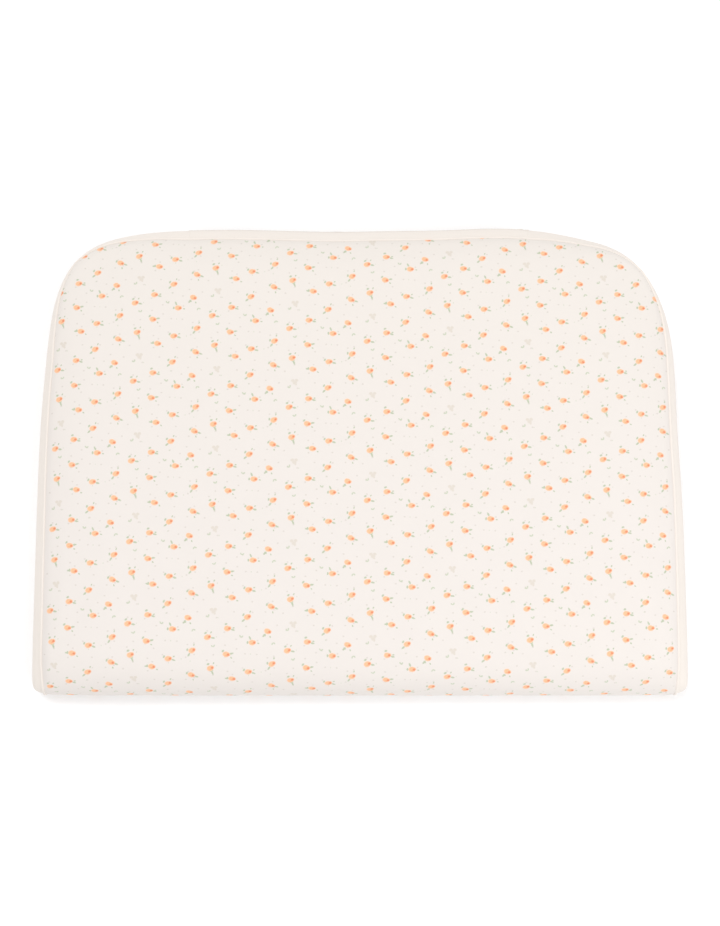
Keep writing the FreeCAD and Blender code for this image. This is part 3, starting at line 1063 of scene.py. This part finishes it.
piping_s = lengths(piped_seam)
piping_count = int(piping_s[-1] / piping_step)
even_s = np.linspace(0, piping_s[-1], piping_count)
line = np.stack([np.interp(even_s, piping_s, piped_seam[:, n]) for n in range(3)], axis=1)
along_line = np.gradient(line, axis=0)
along_line /= np.linalg.norm(along_line, axis=1)[:, None]
band_normal = outward(worn_band)[:, -1]
top_normal = outward(worn_top)
seam_normal = np.concatenate([top_normal[part] for part in rim]) + band_normal
seam_out = np.stack([np.interp(even_s, piping_s, seam_normal[:, n]) for n in range(3)], axis=1)
seam_out -= (seam_out * along_line).sum(axis=1)[:, None] * along_line
seam_out /= np.linalg.norm(seam_out, axis=1)[:, None]
seam_side = np.cross(along_line, seam_out)
unevenness = 0.00012 * np.sin(even_s * 97 + 1.7 * np.sin(even_s * 31)) + 0.00007 * np.sin(even_s * 233)
centre = line + seam_out * (piping_out + unevenness)[:, None]
piping_turns = np.linspace(0, math.tau, piping_sides, endpoint=False)
swell = 1 + 0.05 * np.sin(even_s * 151 + 2 * np.sin(even_s * 43))
around_out = np.cos(piping_turns)[None, :, None] * seam_out[:, None]
around_side = np.sin(piping_turns)[None, :, None] * seam_side[:, None]
rings = centre[:, None] + piping_radius * swell[:, None, None] * (around_out + around_side)
ring_ids = np.arange(piping_count * piping_sides).reshape(piping_count, piping_sides)
ring_ids = np.concatenate([ring_ids, ring_ids[:, :1]], axis=1)
piping_faces = quads(ring_ids).tolist()
piping_faces += [ring_ids[0, :-1].tolist(), ring_ids[-1, -2::-1].tolist()]
piping = mesh_piece("piping_cord", rings.reshape(-1, 3), piping_faces)
piping_uv = piping.data.uv_layers.new(name="cloth")
for polygon in piping.data.polygons:
    for corner in polygon.loop_indices:
        vertex = piping.data.loops[corner].vertex_index
        ring, turn = divmod(vertex, piping_sides)
        run = even_s[ring] * bias
        piping_uv.data[corner].uv = (run, turn / piping_sides * math.tau * piping_radius + run)
piping.data.materials.append(plain_jersey)
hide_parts("piping")
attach(piping, "pad")


# ---------------------------------------------------------------------------------------------------
# The topstitching: cream thread that holds each zip strip to its tape, in a row beside the fold and a
# second row above or below it, and two short bars at each end of the zip.

thread_radius = 0.00022
stitch_pitch = 0.0031
stitch_length = 0.0024
first_row = 0.0019
second_row = 0.0062
row_inset = 0.0025
bar_from_end = 0.0016
thread_proud = 0.00012


def tree_with_inputs(name, inputs):
    """A geometry tree with one geometry in and out, and named number inputs."""
    tree = bpy.data.node_groups.new(name, "GeometryNodeTree")
    tree.interface.new_socket("Geometry", in_out="INPUT", socket_type="NodeSocketGeometry")
    tree.interface.new_socket("Geometry", in_out="OUTPUT", socket_type="NodeSocketGeometry")
    for label in inputs:
        tree.interface.new_socket(label, in_out="INPUT", socket_type="NodeSocketFloat")
    return tree, tree.nodes.new("NodeGroupInput").outputs


def end_tree(tree, geometry, material):
    """Makes the tree's instances real, gives them their material, and hands them out."""
    real = node_in(tree, "GeometryNodeRealizeInstances", {"Geometry": geometry}).outputs["Geometry"]
    finished = node_in(tree, "GeometryNodeSetMaterial", {"Geometry": real, "Material": material})
    node_in(tree, "NodeGroupOutput", {"Geometry": finished.outputs["Geometry"]})


def grown(name, source, tree, values):
    """Runs a geometry tree on an object and keeps the result as a plain mesh piece of this name."""
    modifier = source.modifiers.new("grown", "NODES")
    modifier.node_group = tree
    for item in tree.interface.items_tree:
        if item.in_out == "INPUT" and item.name in values:
            modifier[item.identifier] = values[item.name]
    evaluated = source.evaluated_get(bpy.context.evaluated_depsgraph_get())
    mesh = bpy.data.meshes.new_from_object(evaluated)
    mesh.name = name
    source.modifiers.remove(modifier)
    bpy.data.objects.remove(source)
    piece = bpy.data.objects.new(name, mesh)
    bpy.context.scene.collection.objects.link(piece)
    mesh.polygons.foreach_set("use_smooth", [True] * len(mesh.polygons))
    return piece


cream_thread_colour = (0.84, 0.78, 0.71)
cream_thread, thread_tree, thread_shader = new_material("cream_thread", {"Roughness": 0.6})
twist = node_in(
    thread_tree,
    "ShaderNodeTexWave",
    {"Vector": on_piece(thread_tree), "Scale": 900},
    bands_direction="DIAGONAL",
).outputs["Fac"]
# painted shade: the thread's colour is darker in the grooves of its twist
groove_shaded_thread = blend_colours(thread_tree, twist, shaded(cream_thread_colour, 0.86), cream_thread_colour)
feed(thread_tree, thread_shader.inputs["Base Color"], groove_shaded_thread)
emboss(thread_tree, thread_shader, twist, 0.0001)

stitch_tree, given = tree_with_inputs("row_of_stitches", ["Pitch", "Stitch Length", "Thread Radius"])
to_points = node_in(
    stitch_tree,
    "GeometryNodeCurveToPoints",
    {"Curve": given["Geometry"], "Length": given["Pitch"]},
    mode="LENGTH",
)
bead = node_in(stitch_tree, "GeometryNodeMeshUVSphere", {"Segments": 6, "Rings": 4, "Radius": 1})
half_length = sum_of(stitch_tree, "MULTIPLY", given["Stitch Length"], 0.5)
place_beads = node_in(
    stitch_tree,
    "GeometryNodeInstanceOnPoints",
    {
        "Points": to_points.outputs["Points"],
        "Instance": bead.outputs["Mesh"],
        "Rotation": to_points.outputs["Rotation"],
        "Scale": vector_from(stitch_tree, given["Thread Radius"], given["Thread Radius"], half_length),
    },
)
end_tree(stitch_tree, place_beads.outputs["Instances"], cream_thread)


def stitched(name, rows):
    """Rows of stitches along the lines given, as one piece."""
    lines = bpy.data.curves.new(name + "_lines", "CURVE")
    lines.dimensions = "3D"
    for row in rows:
        spline = lines.splines.new("POLY")
        spline.points.add(len(row) - 1)
        spline.points.foreach_set("co", np.column_stack([row, np.ones(len(row))]).astype(np.float32).ravel())
    source = bpy.data.objects.new(name + "_lines", lines)
    bpy.context.scene.collection.objects.link(source)
    values = {"Pitch": stitch_pitch, "Stitch Length": stitch_length, "Thread Radius": thread_radius}
    piece = grown(name, source, stitch_tree, values)
    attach(piece, "pad")
    return piece


def on_wall(s, z, proud=0.0):
    points = wall_point(s, z, seam_height - z)
    points[:, 1] += proud
    return points


row_s = np.linspace(rear_middle - zip_half + row_inset, rear_middle + zip_half - row_inset, 60)
zip_rows = []
for fold, away in ((opening_high, 1), (opening_low, -1)):
    for from_fold in (first_row, second_row):
        row_z = np.full(len(row_s), fold + away * from_fold)
        zip_rows.append(on_wall(row_s, row_z, thread_proud))
for end in zip_ends.values():
    inwards = math.copysign(bar_from_end, rear_middle - end)
    for place, bar_low, bar_high in (
        (end - inwards, opening_low - second_row, opening_high + second_row),
        (end + inwards, opening_low - second_row, opening_low - first_row),
        (end + inwards, opening_high + first_row, opening_high + second_row),
    ):
        bar_z = np.linspace(bar_low, bar_high, 20)
        zip_rows.append(on_wall(np.full(20, place), bar_z, thread_proud))
topstitching = stitched("zip_topstitching", zip_rows)


# ---------------------------------------------------------------------------------------------------
# The zip tapes: two woven tapes behind the strips, with their beaded edges at the coils.

tape_columns = 150
tape_rows = 9
bead_size = 0.0004
tape_thickness = 0.00045


def woven(name, colour, thread_spacing):
    """A plain weave on the cloth map: raised threads across and along, and painted shade in the gaps between
    them.
    """
    material, tree, shader = new_material(name, {"Roughness": 0.75})
    cloth_map = node_in(tree, "ShaderNodeUVMap", {}, uv_map="cloth").outputs[0]
    waves = []
    for part in list(parts_of(tree, cloth_map))[:2]:
        phase = sum_of(tree, "MULTIPLY", part, math.pi / thread_spacing)
        waves.append(sum_of(tree, "ABSOLUTE", sum_of(tree, "SINE", phase)))
    height = sum_of(tree, "MULTIPLY", *waves)
    # painted shade: the colour is darker in the low gaps between the threads
    feed(tree, shader.inputs["Base Color"], blend_colours(tree, height, shaded(colour, 0.8), colour))
    emboss(tree, shader, height, thread_spacing / 5)
    return material


tape_cloth = woven("woven_zip_tape", (0.80, 0.74, 0.66), 0.0004)


def zip_tape(name, node, coil_side):
    low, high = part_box(node)
    x = np.linspace(low[0], high[0], tape_columns)
    z = np.linspace(low[2], high[2], tape_rows)
    from_coil = np.abs(z - (low[2] if coil_side < 0 else high[2]))
    grid = np.zeros((tape_columns, tape_rows, 3))
    grid[..., 0] = x[:, None]
    grid[..., 2] = z[None]
    grid[..., 1] = high[1] - bead_size / 2 + bead_size * np.exp(-((from_coil / 0.0012) ** 2)) / 2
    grid[..., 1] -= 0.00006 * (1 + np.sin(x * 300))[:, None]
    flat = np.stack([grid[..., 0], grid[..., 2]], axis=-1)
    tape = cloth_panel(name, grid[::-1], flat[::-1], row_depths=(0, 0), column_depths=(0, 0))
    sew_up(tape, tape_thickness, 0)
    tape.data.materials.append(tape_cloth)
    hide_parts(node)
    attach(tape, "pad")


zip_tape("zip_tape_upper_woven", "zip_tape_upper", -1)
zip_tape("zip_tape_lower_woven", "zip_tape_lower", 1)


# ---------------------------------------------------------------------------------------------------
# The zip coils: one nylon filament wound along the edge of each tape. The turns of the two coils lie
# between each other, as in a closed zip.

coil_pitch = 0.0015
coil_wire = 0.00028
coil_overlap = 0.0005
wire_sides = 5
turn_steps = 10


nylon_colour = (0.83, 0.77, 0.68)
cream_nylon, nylon_tree, nylon_shader = new_material(
    "cream_nylon",
    {"Roughness": 0.35, "Subsurface Weight": 0.15, "Subsurface Radius": (0.002, 0.0015, 0.001)},
)
haze = noise_in(nylon_tree, on_piece(nylon_tree), 600).outputs["Fac"]
hazy = blend_colours(nylon_tree, haze, shaded(nylon_colour, 0.93), nylon_colour)
feed(nylon_tree, nylon_shader.inputs["Base Color"], hazy)

coil_inputs = ["Length", "Turns", "Half Width", "Half Height", "Wire Radius"]
coil_tree, given = tree_with_inputs("zip_coil", coil_inputs)
helix = node_in(
    coil_tree,
    "GeometryNodeCurveSpiral",
    {
        "Resolution": turn_steps,
        "Rotations": given["Turns"],
        "Start Radius": 1,
        "End Radius": 1,
        "Height": given["Length"],
    },
)
lay = node_in(
    coil_tree,
    "GeometryNodeTransform",
    {
        "Geometry": helix.outputs["Curve"],
        "Rotation": (0, math.pi / 2, 0),
        "Scale": vector_from(coil_tree, given["Half Width"], given["Half Height"], 1.0),
    },
)
wire_round = node_in(
    coil_tree, "GeometryNodeCurvePrimitiveCircle", {"Resolution": wire_sides, "Radius": given["Wire Radius"]}
)
to_wire = node_in(
    coil_tree,
    "GeometryNodeCurveToMesh",
    {
        "Curve": lay.outputs["Geometry"],
        "Profile Curve": wire_round.outputs["Curve"],
        "Fill Caps": True,
    },
)
end_tree(coil_tree, to_wire.outputs["Mesh"], cream_nylon)

for node, side in (("zip_coil_upper", 1), ("zip_coil_lower", -1)):
    name = node + "_wound"
    low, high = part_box(node)
    length = float(high[0] - low[0])
    width = float(high[2] - low[2]) + coil_overlap
    height = float(high[1] - low[1])
    turns = round(length / coil_pitch)
    coil = grown(
        name,
        mesh_piece(name + "_start", [(0, 0, 0)], []),
        coil_tree,
        {
            "Length": length - coil_pitch,
            "Turns": float(turns),
            "Half Width": width / 2 - coil_wire,
            "Half Height": height / 2 - coil_wire,
            "Wire Radius": coil_wire,
        },
    )
    middle_z = float(low[2] + high[2]) / 2 - side * coil_overlap / 2
    shift = coil_pitch / 2 * (0.5 + side / 2)
    places = np.zeros(len(coil.data.vertices) * 3)
    coil.data.vertices.foreach_get("co", places)
    middle = (float(low[0]) + shift, float(low[1] + high[1]) / 2, middle_z)
    places = places.reshape(-1, 3) * (1, 1, side) + middle
    coil.data.vertices.foreach_set("co", places.ravel())
    if side < 0:
        coil.data.flip_normals()
    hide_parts(node)
    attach(coil, "pad")


# ---------------------------------------------------------------------------------------------------
# The slider, its pull and the stops: zinc castings enamelled cream. The enamel is a little thinner and
# duller in scattered patches.

coat = {"Coat Weight": 0.4, "Coat Roughness": 0.15}
enamel, enamel_tree, enamel_shader = new_material("cream_enamel", coat)
enamel_place = on_piece(enamel_tree)
orange_peel = noise_in(enamel_tree, enamel_place, 900).outputs["Fac"]
worn_patch = noise_in(enamel_tree, enamel_place, 180).outputs["Fac"]
enamel_colour = blend_colours(enamel_tree, worn_patch, (0.84, 0.77, 0.68), (0.74, 0.67, 0.58))
enamel_rough = sum_of(enamel_tree, "MULTIPLY_ADD", worn_patch, 0.25, 0.22)
feed(enamel_tree, enamel_shader.inputs["Base Color"], enamel_colour)
feed(enamel_tree, enamel_shader.inputs["Roughness"], enamel_rough)
emboss(enamel_tree, enamel_shader, orange_peel, 0.00005, 0.3)
for node in ("zip_slider", "zip_pull", "zip_stops"):
    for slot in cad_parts[node].material_slots:
        slot.material = enamel


# ---------------------------------------------------------------------------------------------------
# The care label: a blank white woven tape, caught in the base seam under the zip. It lies against the
# lower strip and curls away from it a little towards its free edge.

label_columns = 16
label_rows = 10
label_curl = 0.0006
label_proud = 0.00035
label_thickness = 0.0003
label_low, label_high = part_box("care_label")
label_x = np.linspace(label_low[0], label_high[0], label_columns)
label_z = np.linspace(label_low[2], label_high[2], label_rows)
label_grid = np.zeros((label_columns, label_rows, 3))
for column, x in enumerate(label_x):
    s = np.interp(x, widest[200:-200, 0], widest_length[200:-200])
    label_grid[column] = on_wall(np.full(label_rows, s), label_z, label_proud)
    label_grid[column, :, 0] = x
rise = (label_z - label_z[0]) / (label_z[-1] - label_z[0])
corner_lift = 1 + 0.5 * np.cos((label_x - label_x[0]) / (label_x[-1] - label_x[0]) * math.tau)
label_grid[..., 1] += label_curl * rise[None] ** 2 * corner_lift[:, None]
label_flat = np.stack(np.broadcast_arrays(label_x[:, None], label_z[None]), axis=-1)
care_label = cloth_panel("care_label_woven", label_grid, label_flat, row_depths=(0, 0), column_depths=(0, 0))
sew_up(care_label, label_thickness, subdivisions)
care_label.data.materials.append(woven("white_label_weave", (0.86, 0.85, 0.83), 0.00025))
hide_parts("care_label")
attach(care_label, "pad")
